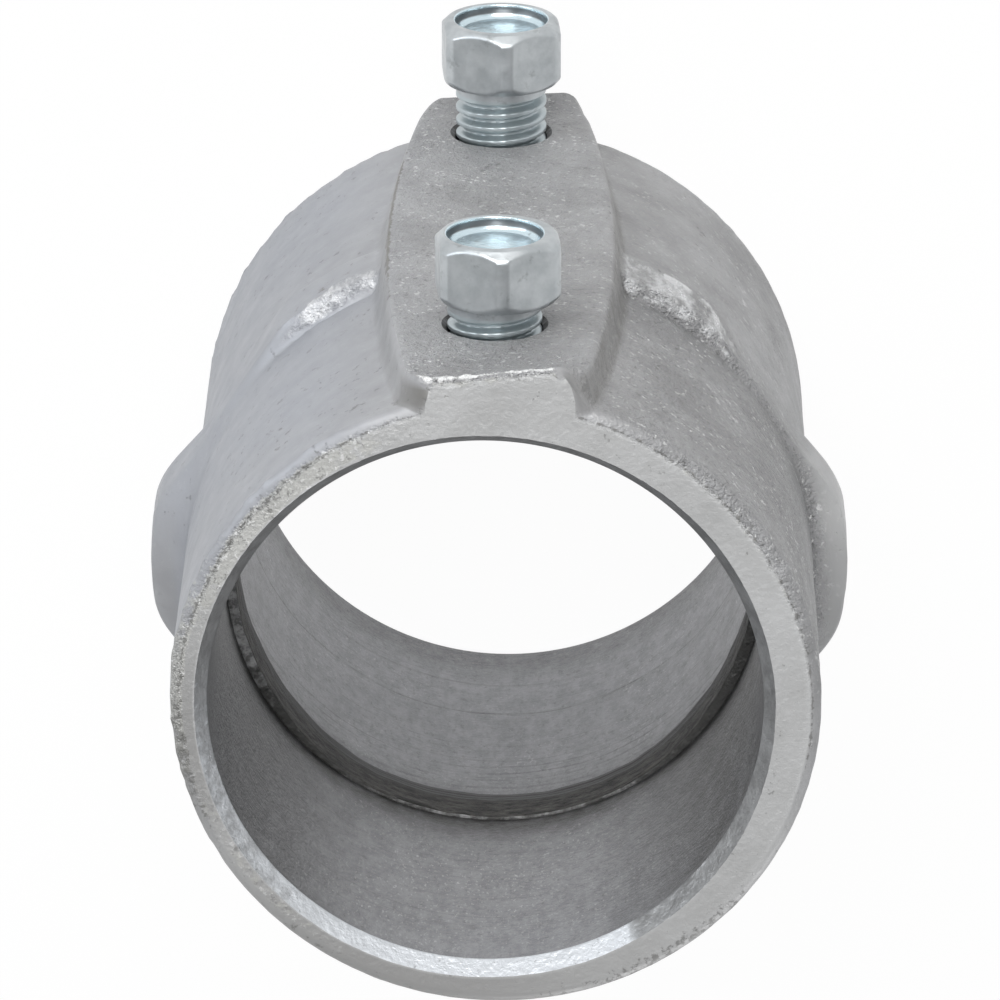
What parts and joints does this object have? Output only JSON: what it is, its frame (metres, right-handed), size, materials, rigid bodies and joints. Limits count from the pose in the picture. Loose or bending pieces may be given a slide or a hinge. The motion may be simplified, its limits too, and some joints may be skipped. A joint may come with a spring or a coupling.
{
  "type": "conduit coupling",
  "caption": "Set-screw coupling that joins lengths of rigid metal conduit end to end, with a wrench collar round its middle and a raised boss for its screws.",
  "frame": {"origin": "on the bore's axis, halfway along the inner stop that the conduits butt against", "axes": "+Z along the bore towards the front mouth, which is the one pictured; -Y is the way the set screws stand out; the part stands on its rear end face"},
  "size_m": [0.0957, 0.1072, 0.118],
  "materials": {
    "galvanised_casting": "galvanised malleable iron casting, finely pitted, with a machined face and bore",
    "zinc_plated_steel": "bright zinc plate with a faint blue tint"
  },
  "bodies": {
    "body": {"coupling_body": "galvanised_casting"},
    "front_screw": {"front_set_screw": "zinc_plated_steel"},
    "rear_screw": {"rear_set_screw": "zinc_plated_steel"}
  },
  "joints": [
    {"name": "front_screw_travel", "type": "slide", "parent": "body", "child": "front_screw", "axis": [0, -1, 0], "range_m": [-0.0038, 0.0069]},
    {"name": "rear_screw_travel", "type": "slide", "parent": "body", "child": "rear_screw", "axis": [0, -1, 0], "range_m": [-0.0077, 0.003]}
  ]
}
